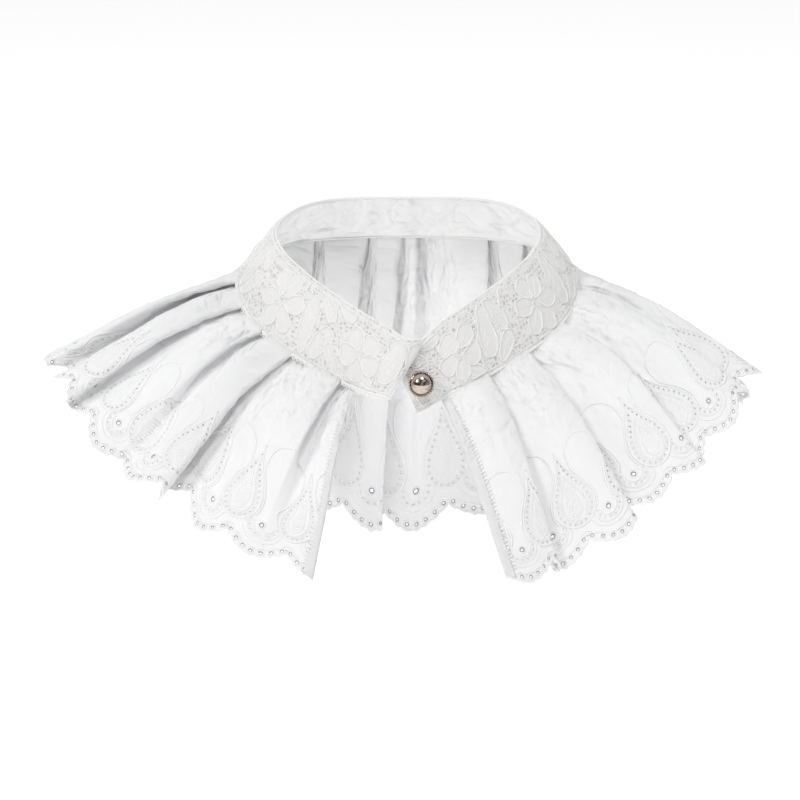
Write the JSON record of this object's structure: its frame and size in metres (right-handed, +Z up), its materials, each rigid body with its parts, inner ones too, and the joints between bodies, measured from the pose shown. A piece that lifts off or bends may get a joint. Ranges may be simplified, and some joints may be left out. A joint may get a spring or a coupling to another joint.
{
  "type": "lace collar",
  "caption": "Stand band of corded lace, closed with a button at the front, with a knife-pleated scalloped ruffle that flares from it over the shoulders.",
  "frame": {"origin": "the middle of the neck, level with the band's lower edge at the sides", "axes": "+X across the collar, towards the side that carries the button, +Z up along the neck, and the opening faces -Y"},
  "size_m": [0.3192, 0.2598, 0.1754],
  "materials": {
    "corded_lace": "woven lace with raised cords",
    "lining_cotton": "smooth woven",
    "embroidered_cotton": "plain woven, embroidered",
    "polished_metal": "polished",
    "thread": "twisted thread"
  },
  "bodies": {
    "root": {"band_lace": "corded_lace", "band_lining": "lining_cotton", "ruffle_front_right": "embroidered_cotton", "ruffle_back": "embroidered_cotton", "ruffle_front_left": "embroidered_cotton", "button": "polished_metal", "button_loop": "thread"}
  },
  "joints": []
}
